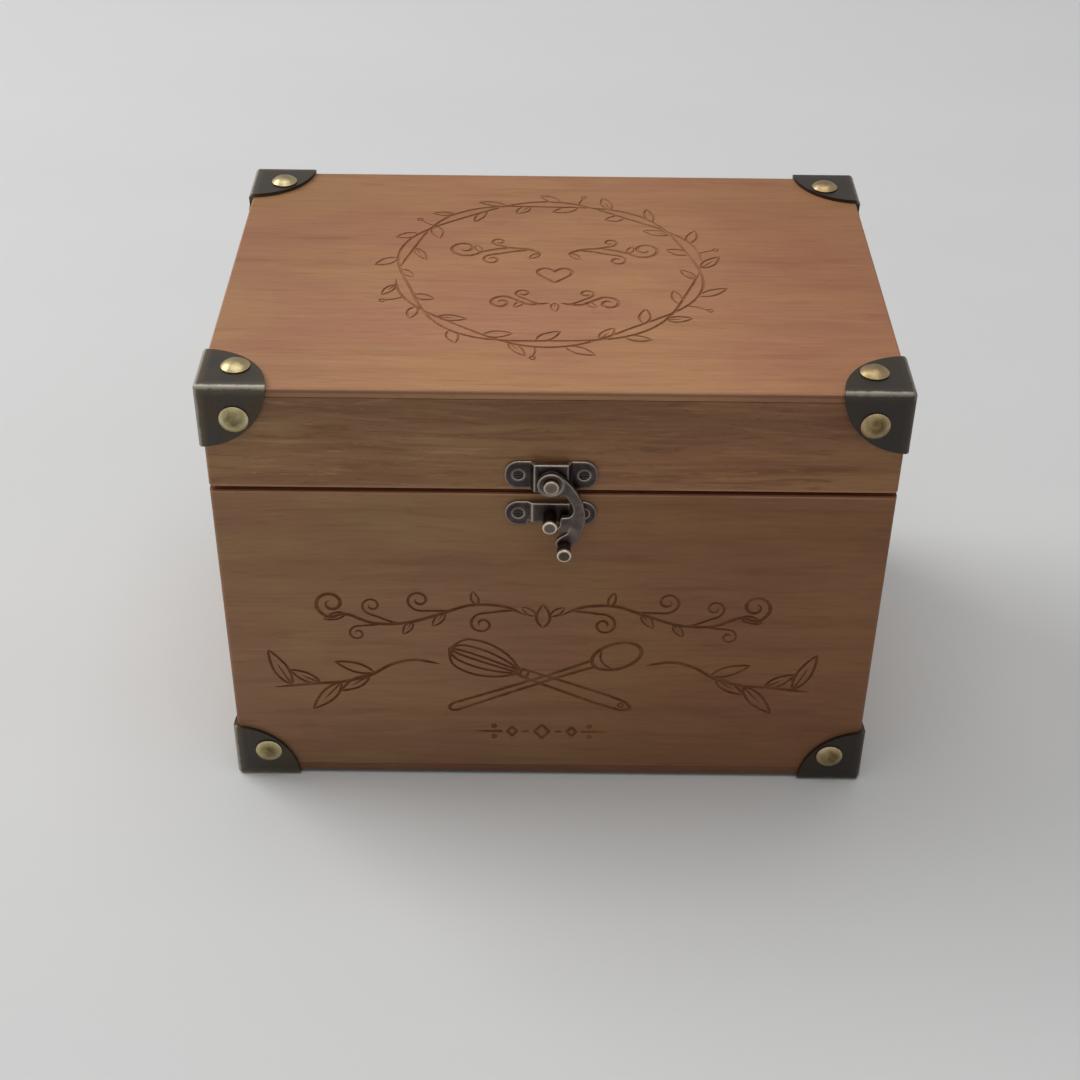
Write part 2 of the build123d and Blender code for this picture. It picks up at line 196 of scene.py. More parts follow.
# Leaves point out and in by turns: their vine, the heading they lean from, in degrees off the
# radius, and the least and the spread of their lean and length.
LEAF_KINDS = ((max, 90, (28, 20), (7.5, 3.5)), (min, 270, (132, 16), (6, 3.5)))
LID_BOLDNESS = 1.22  # how much wider than drawn the lid's strokes are cut


def vine_radius(angle, phase):
    """A vine's distance from the wreath's centre; two of opposite phase cross."""
    return WREATH_RADIUS + VINE_SWAY * sin(5 * angle + phase) + 0.5 * sin(3 * angle + 1)


def from_wreath(angle, vine):
    """Where the outer or the inner vine, max or min, passes an angle."""
    return polar((0, 0), vine(vine_radius(angle, 0), vine_radius(angle, pi)), angle)


def berry(base, heading, length):
    """A berry on a slightly bowed stalk."""
    a = radians(heading)
    tip, middle = polar(base, length, a), polar(base, 0.5 * length, a + 0.15)
    stalk = smooth([base, middle, tip], STALK_WIDTH)
    return [stalk] + ring(polar(tip, BERRY_RADIUS, a), BERRY_RADIUS, BERRY_WIDTH)


def wreath():
    dice = random.Random(5)

    def drawn(least, spread):
        return least + spread * dice.random()

    strokes = []
    for phase, gap in ((0.0, 8), (pi, 188)):
        angles = [radians(gap + 352 * k / 96) for k in range(97)]
        points = [polar((0, 0), vine_radius(a, phase), a) for a in angles]
        strokes.append(smooth(points, VINE_WIDTH, (6, 6), 0.8))
    for k in range(WREATH_LEAVES):
        a = radians(360 * (k + 0.35 * dice.random()) / WREATH_LEAVES)
        vine, straight, lean, length = LEAF_KINDS[k % 2]
        heading = degrees(a) + (straight - drawn(*lean))
        length, breadth, bend = drawn(*length), drawn(2.6, 1.2), 0.16 * (dice.random() - 0.5)
        strokes += leaf(from_wreath(a, vine), heading, length, breadth, LEAF_WIDTH, bend, rib=k % 3 == 0)
        if k % 6 == 1:
            heading = degrees(a) + 28 * (dice.random() - 0.5)
            strokes += berry(from_wreath(a, max), heading, drawn(5, 2))
    return [[(x, WREATH_SQUASH * y, w) for x, y, w in stroke] for stroke in strokes]


def heart(centre, size, width):
    half = [(0, -0.95), (0.55, -0.42), (0.98, 0.1), (0.98, 0.55), (0.62, 0.82), (0.22, 0.68), (0, 0.3)]
    points = [(centre[0] + size * x, centre[1] + size * y) for x, y in half]
    return mirrored([smooth(points, width, (0.8, 0.8), 0.4)], centre[0])


def upper_flourish():
    stem = [(4, 0), (9, 2.8), (16, 3.2), (23, 0.6)] + curl((28.4, 3.0), 5.6, -140, 1.35, 1.1)
    leaves = (((4.5, 0.4), -50, 5.5, 2.2, 0.55), ((23, 0.8), 62, 5.0, 2.0, 0.55, 0.1, False))
    tendrils = (
        ((7, 2.0), 0, (19.6, -4.3), 3.1, -1.2, 0.9, 0.8),
        ((11, 3.3), 5, (17.6, 7.7), 2.5, 1.2, 0.7, 0.75),
    )
    return mirrored(plant(stem, 1.05, (3, 3), leaves, tendrils, (2, 2)), 0)


def lower_flourish():
    stem = [(1.5, -2.6)] + tendril((6, -3.6), -8, (16.2, -2.6), 4.0, -1.3, 0.9)
    leaves = (((9.4, -1.6), -52, 5.0, 2.0, 0.55, 0, False),)
    tendrils = (((3.6, -3.2), 5, (9.6, 3.3), 2.5, 1.2, 0.8, 0.75),)
    right = plant(stem, 1.0, (2, 3), leaves, tendrils, (2, 2))
    return mirrored(right, 0) + leaf((0, -2.4), -90, 5.5, 2.4, 0.55)


def lid_strokes():
    strokes = moved(wreath(), *WREATH_CENTRE) + moved(upper_flourish(), 0, 15.5)
    strokes += heart((0, 1.5), 5.2, 0.9) + moved(lower_flourish(), 0, -13.5)
    return [[(x, y, LID_BOLDNESS * w) for x, y, w in stroke] for stroke in strokes]


# --- front: a scroll band, spoon and whisk between sprigs, and a divider ---

FRONT_MIDDLE = -2.5  # the engraving is a little left of the board's middle
BAND_LEVEL, SPRIG_LEVEL, TOOLS_LEVEL, DIVIDER_LEVEL = 66.5, 47, 41, 19
TOOLS_LEAN, TOOLS_SCALE = 23, 1.06  # how far spoon and whisk lean, in degrees, and their size


def scroll_band():
    stem = [(5, 0), (12, 3.6), (22, 4.0), (32, 0.2), (42, -3.2), (52, -3.4), (60, 0)]
    stem += curl((64.6, 4.2), 5.4, -85, 1.45, 1.0)
    tendrils = (
        ((8, 1.9), 5, (18.6, -3.4), 4.2, -1.35, 0.9, 0.95),
        ((28, 2.1), -12, (37.8, 5.8), 4.2, 1.35, 0.9, 0.95),
        ((43, -3.3), 0, (52.2, 3.5), 3.4, 1.3, 0.8, 0.85),
        ((48, -3.6), -8, (57.0, -7.6), 2.9, -1.25, 0.7, 0.8),
    )
    leaves = (
        ((30, 1.2), -58, 7.0, 2.6, 0.75, 0.05),
        ((40, -2.6), -62, 6.0, 2.4, 0.75, 0.05),
        ((60, 0.2), -12, 7.5, 2.6, 0.75, -0.1),
        ((20, 4.1), 68, 5.5, 2.2, 0.75, 0.1, False),
    )
    strokes = mirrored(plant(stem, 1.2, (5, 4), leaves, tendrils, (3, 2)), 0)
    strokes += leaf((0, -4.6), 90, 9.2, 4.2, 0.9, rib=False)
    for side, angle in ((1, 38), (-1, 142)):
        strokes += leaf((side * 2.2, 0), angle, 5.6, 2.2, 0.7, rib=False)
    return strokes


def sprig():
    """The right-hand sprig, from its stem's inner end."""
    stem = [(0, 0), (8, 1.5), (15, -0.4), (22, -5.0), (30, -7.6), (41, -8.8), (52, -10.2)]
    return plant(stem, 1.2, (4, 6), (
        ((20.5, -3.8), 18, 13, 3.6, 0.9, 0.03, False),
        ((22, -5.0), -38, 11.5, 3.6, 0.9, 0.06),
        ((31, -7.8), -53, 15, 4.4, 0.9, 0.05),
        ((37.5, -8.4), 27, 11, 3.4, 0.9, 0.05),
        ((46.5, -9.4), 63, 16, 4.4, 0.9, 0.04),
    ))


def spoon():
    """A wooden spoon along X, its bowl on the right."""
    bowl = ring((23.5, 0), 7.6, 1.15, 0.62)
    inner = [smooth(curl((23.8, 0), 5.0, 130, 0.28, 5.0), 0.7, (1.5, 1.5))]
    edge = [(16.4, 1.3), (4, 0.95), (-14, 1.15), (-28, 1.5)]
    handle = [smooth([(x, side * y) for x, y in edge], 1.05) for side in (-1, 1)]
    end = [smooth([(-28, -1.5), (-29.6, -0.9), (-29.9, 0), (-29.6, 0.9), (-28, 1.5)], 1.05)]
    return bowl + inner + handle + end


def whisk():
    """A balloon whisk along X, its wires on the right."""
    wires = [[(7, 0.5), (13, 0.72 * y), (20, y), (26.5, 0.8 * y), (29.6, 0)] for y in (6.3, 3.4, 0.9)]
    grip = [(7, 1.3), (2, 1.6), (-8, 1.9), (-18, 2.1), (-26, 1.7), (-28.6, 0)]
    strokes = []
    for line, width in [(wire, 0.85) for wire in wires] + [(grip, 1.05)]:
        strokes += [smooth([(x, side * y) for x, y in line], width) for side in (1, -1)]
    strokes += [smooth([(x, -1.5), (x, 1.5)], 0.9) for x in (7, 4.8)]
    return strokes + ring((-25.4, 0), 0.75, 0.5)


def divider():
    """Three diamonds in a row between pairs of dots and tapering dashes."""
    strokes = []
    for x, size in ((0, 2.9), (-9.5, 1.9), (9.5, 1.9)):
        corners = [(x, size), (x + 0.8 * size, 0), (x, -size), (x - 0.8 * size, 0), (x, size)]
        strokes += [smooth([a, b], 1.05) for a, b in zip(corners, corners[1:])]
    for side in (-1, 1):
        strokes.append(smooth([(side * 4, 0), (side * 6.6, 0)], 1.05, (0.8, 0.8)))
        strokes.append(smooth([(side * 12.4, 0), (side * 21.5, 0)], 1.25, (0.5, 7)))
        strokes += ring((side * 15.2, 2.2), 0.6, 0.65) + ring((side * 15.2, -2.2), 0.6, 0.65)
    return strokes


def front_strokes():
    tools = turned(whisk(), 180 - TOOLS_LEAN, TOOLS_SCALE) + turned(spoon(), TOOLS_LEAN, TOOLS_SCALE)
    strokes = moved(scroll_band(), FRONT_MIDDLE, BAND_LEVEL)
    strokes += mirrored(moved(sprig(), 29.5, SPRIG_LEVEL), FRONT_MIDDLE)
    strokes += moved(tools, FRONT_MIDDLE, TOOLS_LEVEL)
    return strokes + moved(divider(), FRONT_MIDDLE, DIVIDER_LEVEL)


# --- engraving: real grooves, cut into a copy of the board ---

GROOVE_DEPTH = 0.42
LEAST_DEPTH = 0.004  # anything shallower is left flat
MARGIN = 0.1  # how far past a stroke's own width its cut is looked for
FULL_WIDTH = 0.45  # the half width from which a stroke reaches the full depth
FLOOR_SHARE = 0.5  # the share of the half width that is the groove's flat bottom
BRIM_SHARE = 0.4  # a brim stays at the surface unless another stroke cuts it deeper than this
ROWS = (-1, -FLOOR_SHARE, FLOOR_SHARE, 1)  # a groove's lines: brim, bottom, bottom, brim
MESH_TOLERANCE = 1e-5  # millimetres, for the triangles between those lines
GROOVE_CREASE, NAIL_CREASE = radians(28), radians(50)  # sharper turns than these stay sharp


def new_object(name, data):
    piece = bpy.data.objects.new(name, data)
    bpy.context.scene.collection.objects.link(piece)
    return piece


def merged_shape(mesh):
    """An editable copy of a mesh whose faces share their vertices."""
    shape = bmesh.new()
    shape.from_mesh(mesh)
    bmesh.ops.remove_doubles(shape, verts=shape.verts, dist=MERGED)
    return shape


def offset_line(stroke, share):
    """The stroke's line shifted sideways by a share of its half width."""
    line = []
    for i, (x, y, w) in enumerate(stroke):
        ax, ay, _ = stroke[max(0, i - 1)]
        bx, by, _ = stroke[min(len(stroke) - 1, i + 1)]
        length = hypot(bx - ax, by - ay) or 1
        line.append((x - (by - ay) / length * w * share, y + (bx - ax) / length * w * share))
    return line


def groove_depths(points, strokes):
    """How deep each point lies, from the stroke that cuts it deepest."""
    depth = np.zeros(len(points))
    for stroke in strokes:
        line = np.array(stroke)
        reach = line[:, 2].max() + MARGIN
        low, high = line[:, :2].min(0) - reach, line[:, :2].max(0) + reach
        near = np.where(((points >= low) & (points <= high)).all(1))[0]
        start, end = line[:-1], line[1:]
        along = end[:, :2] - start[:, :2]
        square = np.maximum((along**2).sum(1), 1e-12)
        offset = points[near][:, None, :] - start[None, :, :2]
        t = np.clip((offset * along).sum(2) / square, 0, 1)
        gap = np.linalg.norm(offset - t[..., None] * along, axis=2)
        width = start[:, 2] + t * (end[:, 2] - start[:, 2])
        share = np.clip((1 - gap / width) / (1 - FLOOR_SHARE), 0, 1)
        cut = GROOVE_DEPTH * share * np.minimum(1, width / FULL_WIDTH)
        depth[near] = np.maximum(depth[near], cut.max(1))
    depth[depth < LEAST_DEPTH] = 0
    return depth


def inside(points, loops):
    """Which points lie inside the loops, by counting the edges to their right."""
    crossings = np.zeros(len(points), int)
    for (ax, ay), (bx, by) in loops:
        spans = (ay > points[:, 1]) != (by > points[:, 1])
        if not spans.any():
            continue
        at = ax + (points[:, 1] - ay) / (by - ay) * (bx - ax)
        crossings += spans & (points[:, 0] < at)
    return crossings % 2 == 1


def outermost_faces(shape, normal):
    """The faces in a shape's outermost plane along the normal, and how far out that plane is."""
    plane = max(v.co.dot(normal) for v in shape.verts)
    flat = [
        f for f in shape.faces
        if f.normal.dot(normal) > 0.999 and all(abs(v.co.dot(normal) - plane) < MERGED for v in f.verts)
    ]
    return flat, plane


def face_outline(flat, upright):
    """The vertices round flat faces, their places in millimetres and their edges, by number."""
    members = set(flat)
    rim = [e for f in flat for e in f.edges if sum(g in members for g in e.link_faces) == 1]
    points, edges, numbers = [], [], {}
    for e in rim:
        for v in e.verts:
            if v not in numbers:
                numbers[v] = len(points)
                points.append((v.co.x / MM, v.co[upright] / MM))
        edges.append(tuple(numbers[v] for v in e.verts))
    return list(numbers), points, edges


def add_grooves(points, edges, strokes):
    """Adds each stroke's rows and the lines across its ends; returns the numbers of the brims."""
    brims = set()
    for stroke in strokes:
        first, count = len(points), len(stroke)
        for share in ROWS:
            start = len(points)
            edges += [(start + k, start + k + 1) for k in range(count - 1)]
            points += offset_line(stroke, share)
            if abs(share) == 1:
                brims.update(range(start, start + count))
        for end in (first, first + count - 1):
            across = range(end, end + len(ROWS) * count, count)
            edges += list(zip(across, across[1:]))
    return brims


def mark_creases(mesh):
    """Sharp edges where the mesh turns a corner or burnt faces meet plain ones."""
    if "custom_normal" in mesh.attributes:
        mesh.attributes.remove(mesh.attributes["custom_normal"])
    mesh.shade_smooth()
    mesh.set_sharp_from_angle(angle=GROOVE_CREASE)
    sides = {}
    for polygon in mesh.polygons:
        for key in polygon.edge_keys:
            sides.setdefault(key, set()).add(polygon.material_index)
    for e in mesh.edges:
        e.use_edge_sharp = e.use_edge_sharp or len(sides[e.key]) > 1


def engraved(name, node, normal, strokes):
    """A copy of a board whose outer face, along the normal, carries the strokes as grooves.

    That face is filled anew: triangles in a groove have the second material, others stay flat."""
    mesh = nodes[node].data.copy()
    piece = new_object(name, mesh)
    shape = merged_shape(mesh)
    normal = Vector(normal)
    upright = 2 if abs(normal.y) > 0.5 else 1
    flat, plane = outermost_faces(shape, normal)
    rim, points, edges = face_outline(flat, upright)
    loops = [(points[a], points[b]) for a, b in edges]
    brims = add_grooves(points, edges, strokes)
    points = [Vector(p) for p in points]
    got, _, faces, origins, _, _ = delaunay_2d_cdt(points, edges, [], 0, MESH_TOLERANCE)
    places = np.array([(p.x, p.y) for p in got])
    depth = groove_depths(places, strokes)
    made = {}
    for index, sources in enumerate(origins):
        for source in sources:
            if source < len(rim):
                made[index] = rim[source]
                depth[index] = 0
            elif source in brims and depth[index] < BRIM_SHARE * GROOVE_DEPTH:
                depth[index] = 0
    triangles = np.array([f for f in faces if len(f) == 3])
    centres = places[triangles].mean(1)
    keep, cut = inside(centres, loops), groove_depths(centres, strokes) > 0
    depth[np.unique(triangles[~cut])] = 0
    bmesh.ops.delete(shape, geom=flat, context="FACES_KEEP_BOUNDARY")
    for index in np.unique(triangles[keep]).tolist():
        if index not in made:
            spot = normal * (plane - depth[index] * MM)
            spot.x, spot[upright] = places[index] * MM
            made[index] = shape.verts.new(spot)
    for corners, burnt_face in zip(triangles[keep].tolist(), cut[keep]):
        try:
            face = shape.faces.new([made[c] for c in corners])
        except ValueError:  # the face is there already, or two of its corners are one
            continue
        face.material_index = int(burnt_face)
    bmesh.ops.delete(shape, geom=[v for v in shape.verts if not v.link_faces], context="VERTS")
    shape.normal_update()
    shape.to_mesh(mesh)
    shape.free()
    mark_creases(mesh)
    return piece


# --- materials ---


def srgb(red, green, blue):
    """A colour as seen, 0 to 255, in the linear values that the shader takes."""
    parts = [c / 255 for c in (red, green, blue)]
    return (*[c / 12.92 if c <= 0.04045 else ((c + 0.055) / 1.055) ** 2.4 for c in parts], 1)


def palette(**colours):
    return {name: srgb(*colour) for name, colour in colours.items()}


class Nodes:
    """Builds the nodes of a material or a world."""

    def __init__(self, owner):
        owner.use_nodes = True
        self.tree = owner.node_tree

    def add(self, kind, inputs=None, **settings):
        node = self.tree.nodes.new(kind)
        for key, value in settings.items():
            setattr(node, key, value)
        for key, value in (inputs or {}).items():
            self.feed(node.inputs[key], value)
        return node

    def feed(self, socket, value):
        if isinstance(value, bpy.types.NodeSocket):
            self.tree.links.new(value, socket)
        else:
            socket.default_value = value

    def vector(self, operation, a, b=(0, 0, 0), **inputs):
        node = self.add("ShaderNodeVectorMath", {0: a, 1: b, **inputs}, operation=operation)
        return node.outputs["Value" if operation in ("DOT_PRODUCT", "LENGTH") else "Vector"]

    def split(self, vector):
        return self.add("ShaderNodeSeparateXYZ", {0: vector}).outputs

    def math(self, operation, a, b=0.0, **settings):
        return self.add("ShaderNodeMath", {0: a, 1: b}, operation=operation, **settings).outputs[0]

    def plus(self, a, b):
        return self.math("ADD", a, b)

    def minus(self, a, b):
        return self.math("SUBTRACT", a, b)

    def times(self, a, b):
        return self.math("MULTIPLY", a, b)

    def gap(self, a, b):
        """How far a is from b."""
        return self.math("ABSOLUTE", self.minus(a, b))

    def towards(self, normal, axis):
        """How much a normal lies along an axis, either way: 0 to 1."""
        return self.math("ABSOLUTE", self.vector("DOT_PRODUCT", normal, axis))

    def noise(self, place, stretch, detail, roughness, warp=0.0, shift=(0, 0, 0)):
        """Noise of so many cycles per millimetre, all ways alike or along each axis."""
        stretch = stretch if isinstance(stretch, tuple) else (stretch,) * 3
        at = self.vector("ADD", self.vector("MULTIPLY", place, stretch), shift)
        node = self.add("ShaderNodeTexNoise", {
            "Vector": at, "Scale": 1.0, "Detail": detail, "Roughness": roughness, "Distortion": warp,
        })
        return node.outputs["Fac"]

    def ramp(self, value, low, high, start=0.0, end=1.0, kind="SMOOTHSTEP"):
        """The value taken, smoothly as a rule, from start, at low, to end, at high."""
        node = self.add("ShaderNodeMapRange", {
            "Value": value, "From Min": low, "From Max": high, "To Min": start, "To Max": end,
        }, interpolation_type=kind)
        return node.outputs["Result"]

    def mix(self, share, a, b, blend="MIX"):
        node = self.add("ShaderNodeMix", data_type="RGBA", blend_type=blend)
        for key, value in (("Factor_Float", share), ("A_Color", a), ("B_Color", b)):
            self.feed(next(s for s in node.inputs if s.identifier == key), value)
        return next(s for s in node.outputs if s.identifier == "Result_Color")

    def tinted(self, tone, where, start, end, first, last):
        """The tone times a tint that drifts from the first, at start, to the last, at end."""
        tint = self.mix(self.ramp(where, start, end), (*first, 1), (*last, 1))
        return self.mix(1.0, tone, tint, "MULTIPLY")

    def looked_at(self):
        """1 for what the camera sees, directly or in metal and varnish."""
        path = self.add("ShaderNodeLightPath").outputs
        total = path["Is Camera Ray"]
        for kind in ("Is Glossy Ray", "Is Transmission Ray"):
            total = self.math("ADD", total, path[kind], use_clamp=True)
        return total


class Graph(Nodes):
    """Builds one node material; positions are millimetres in the object's own coordinates."""

    def __init__(self, name):
        self.material = bpy.data.materials.new(name)
        super().__init__(self.material)
        self.shader = self.tree.nodes["Principled BSDF"]
        place = self.add("ShaderNodeTexCoord").outputs["Object"]
        self.place = self.vector("SCALE", place, Scale=1 / MM)

    def attribute(self, name):
        return self.add("ShaderNodeAttribute", attribute_name=name).outputs["Fac"]

    def bump(self, height, distance):
        """A height, which stands for so many millimetres, as a bump on the shader's normal."""
        settings = {"Height": height, "Distance": distance * MM, "Strength": 1.0}
        return self.add("ShaderNodeBump", settings).outputs["Normal"]

    def finish(self, **inputs):
        for key, value in inputs.items():
            self.feed(self.shader.inputs[key.replace("_", " ")], value)
        return self.material


# Levels and half sizes of the box, in millimetres, read from the frame.
SEAM_LEVEL = (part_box("base_front_board")[1].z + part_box("lid_front_rail")[0].z) / 2 / MM
panel_low, panel_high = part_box("lid_top_panel")
PANEL_LEVEL, TOP_LEVEL, HALF_WIDTH = panel_low.z / MM, panel_high.z / MM, panel_high.x / MM
WALL_MIDDLE = (panel_low.y + panel_high.y) / 2 / MM
HALF_DEPTH = panel_high.y / MM - WALL_MIDDLE

# Stain colours, with those of the painted highlight on the arrises and of the painted shade under the top
# arris and at the seam.
STAIN = palette(
    light=(190, 142, 98), golden=(172, 128, 85), reddish=(167, 118, 84), dark=(136, 91, 58),
    pore=(90, 54, 30), rubbed=(206, 160, 130), shaded=(96, 56, 32), kerf=(116, 60, 30),
    glue=(112, 66, 42), end_light=(124, 82, 54), end_dark=(92, 56, 35),
)
# The grain's patterns: length and breadth in millimetres, detail, roughness, warp and shift.
PATTERNS = {
    "bands": (150, 9, 3, 0.55, 0.3),
    "figure": (27, 2.7, 3, 0.6, 0.9, (17, -9, 4)),
    "streaks": (38, 1.7, 4, 0.62, 0.5),
    "fibres": (11, 0.42, 3, 0.6, 0.2),
    "flecks": (7.5, 0.75, 2, 0.5, 0.4, (31, 7, -5)),
    "pores": (4.6, 0.34, 2, 0.5, 0.1, (-13, 3, 11)),
}
# What each does: from which value, at which in full, how much, and in which colour of the stain.
# All but the fibres also scale with the wood's contrast.
LAYERS = (
    ("bands", 0.42, 0.72, 0.5, "dark"),
    ("figure", 0.52, 0.7, 0.5, "dark"),
    ("figure", 0.46, 0.28, 0.4, "light"),
    ("streaks", 0.5, 0.76, 0.62, "dark"),
    ("streaks", 0.46, 0.24, 0.55, "light"),
    ("fibres", 0.52, 0.8, 0.36, "dark"),
    ("flecks", 0.64, 0.74, 0.42, "light"),
    ("pores", 0.63, 0.76, 0.36, "pore"),
)
SWAY = 5.0  # how far the grain wanders, in millimetres
SEAM_RUB, TOP_RUB = 0.42, 0.5  # how strong the painted highlight on the arrises is at the seam and round the top
SHADE_BELOW = 1.15  # a dark line this far under the top arris, in millimetres
FOOT_REACH, FOOT_STAIN = 48, 0.26  # how far up from the foot painted shade reaches, and how much
END_GRAIN = 0.7  # how much of the end grain's own colour shows


def wood_colour(g, grain, contrast, shift):
    """The stained wood's colour, its height, and its patterns, all along the grain's axis."""
    along = "xyz".index(grain)

    def pattern(place, length, breadth, detail, roughness, warp, offset=(0, 0, 0)):
        cycles = [1 / breadth] * 3
        cycles[along] = 1 / length
        at = tuple(s + o for s, o in zip(shift, offset))
        return g.noise(place, tuple(cycles), detail, roughness, warp, at)

    sway = g.times(g.minus(pattern(g.place, 70, 30, 1.5, 0.5, 0), 0.5), SWAY)
    rise = g.add("ShaderNodeCombineXYZ", {1 - along: sway, 2: sway}).outputs[0]
    swayed = g.vector("ADD", g.place, rise)
    patterns = {name: pattern(swayed, *settings) for name, settings in PATTERNS.items()}
    blotch = pattern(g.place, 55, 26, 2.5, 0.5, 0.6)
    tone = g.mix(g.ramp(blotch, 0.36, 0.64), STAIN["reddish"], STAIN["golden"])
    for name, none, full, most, colour in LAYERS:
        most *= 1 if name == "fibres" else contrast
        tone = g.mix(g.ramp(patterns[name], none, full, 0, most), tone, STAIN[colour])
    height = g.minus(g.times(patterns["fibres"], 0.6), g.ramp(patterns["pores"], 0.62, 0.74))
    return tone, height, patterns


def worn_and_shaded(g, tone, level, facing, outward, streaks, shift):
    """Painted light and shade: a highlight on the arrises, and shade under the top arris, at the seam and
    towards the foot; and the glue line.
    """
    upright = g.ramp(g.towards(facing, (0, 0, 1)), 0.9, 0.75)
    edge = g.math("MAXIMUM", g.minus(outward[0], HALF_WIDTH), g.minus(outward[1], HALF_DEPTH))
    outside = g.times(g.ramp(edge, -2.4, -1.2), upright)
    lips = g.math("MAXIMUM", outside, g.ramp(edge, -1.1, -0.8))
    from_seam = g.gap(level, SEAM_LEVEL)
    # Painted highlight: the arrises at the seam and round the top are lighter, in streaks.
    at_seam = g.ramp(from_seam, 1.9, 1.0, 0, SEAM_RUB)
    at_top = g.ramp(level, TOP_LEVEL - 0.7, TOP_LEVEL - 0.2, 0, TOP_RUB)
    rubbed = g.times(g.plus(at_seam, at_top), g.ramp(streaks, 0.38, 0.55, 0.25, 1))
    tone = g.mix(g.times(rubbed, outside), tone, STAIN["rubbed"])
    shaded = g.ramp(g.gap(level, TOP_LEVEL - SHADE_BELOW), 0.55, 0.2, 0, 0.4)
    tone = g.mix(g.times(shaded, outside), tone, STAIN["shaded"])
    # Painted shade: the lips of the seam between lid and base are darkened like the gap's shadow.
    tone = g.mix(g.times(g.ramp(from_seam, 1.0, 0.8), lips), tone, STAIN["kerf"])
    # Painted shade: the wood darkens towards the foot.
    tone = g.mix(g.ramp(level, FOOT_REACH, 0, 0, FOOT_STAIN), tone, STAIN["pore"])
    broken = g.noise(g.place, (0.045, 0.045, 0.3), 3, 0.6, 0, shift)
    glue = g.times(g.ramp(g.gap(level, PANEL_LEVEL), 0.5, 0.05), outside)
    return g.mix(g.times(glue, g.ramp(broken, 0.36, 0.6, 0.0, 0.4)), tone, STAIN["glue"])


def wood(name, grain, contrast=1.0, shift=(0, 0, 0), drifts=()):
    """Stained, lightly sealed wood, with darker end grain, a dark glue line and painted shade in the seams.

    Each drift is painted light and shade that changes the tone slowly: along what, from where to where, and
    its two tints."""
    g = Graph(f"stained_wood_{name}")
    tone, height, patterns = wood_colour(g, grain, contrast, shift)
    outward = g.split(g.vector("ABSOLUTE", g.vector("SUBTRACT", g.place, (0, WALL_MIDDLE, 0))))
    places = dict(zip("xyz", g.split(g.place)), side=outward[0])
    for along, *drift in drifts:
        tone = g.tinted(tone, places[along], *drift)
    facing = g.add("ShaderNodeTexCoord").outputs["Normal"]
    tone = worn_and_shaded(g, tone, places["z"], facing, outward, patterns["streaks"], shift)
    end = g.ramp(g.towards(facing, (1, 0, 0) if grain == "x" else (0, 1, 0)), 0.75, 0.95)
    rings = g.noise(g.place, (0.25, 0.25, 0.9), 4, 0.6, 1.2, shift)
    end_tone = g.mix(g.ramp(rings, 0.35, 0.7), STAIN["end_light"], STAIN["end_dark"])
    tone = g.mix(g.times(end, END_GRAIN), tone, end_tone)
    rough = g.plus(0.46, g.times(patterns["fibres"], 0.22))
    return g.finish(Base_Color=tone, Roughness=rough, Specular_IOR_Level=0.36, Normal=g.bump(height, 0.035))


def burnt(name, grain, shift, light_char, dark_char, least):
    """The floor and walls of the engraved lines: the same wood, scorched unevenly."""
    g = Graph(name)
    tone, height, patterns = wood_colour(g, grain, 1.0, shift)
    patchy = g.noise(g.place, (0.09, 0.16, 0.16), 3, 0.6, 0.4, shift)
    char = g.mix(g.ramp(patterns["fibres"], 0.35, 0.7), light_char, dark_char)
    tone = g.mix(g.ramp(patchy, 0.3, 0.62, least, 1), tone, char)
    return g.finish(Base_Color=tone, Roughness=0.72, Specular_IOR_Level=0.2, Normal=g.bump(height, 0.04))


LEFT, RIGHT = -60, 60  # the painted light and shade on the metals drifts between these, in millimetres
BRONZE = palette(
    cool=(72, 69, 67), warm=(82, 72, 58), speck=(50, 44, 38),
    right=(44, 36, 34), halo=(150, 138, 112), bare=(214, 208, 194),
)
BRASS = palette(light=(230, 218, 172), deep=(208, 192, 140), speck=(136, 122, 76), grime=(90, 80, 26))
# Painted light and shade on the nails: their tints from left to right, and on the lid's top.
BRASS_LEFT, BRASS_RIGHT, BRASS_ON_TOP = (0.92, 0.9, 0.95), (0.76, 0.67, 0.69), (0.69, 0.66, 0.62)
CREVICE = srgb(30, 25, 23)


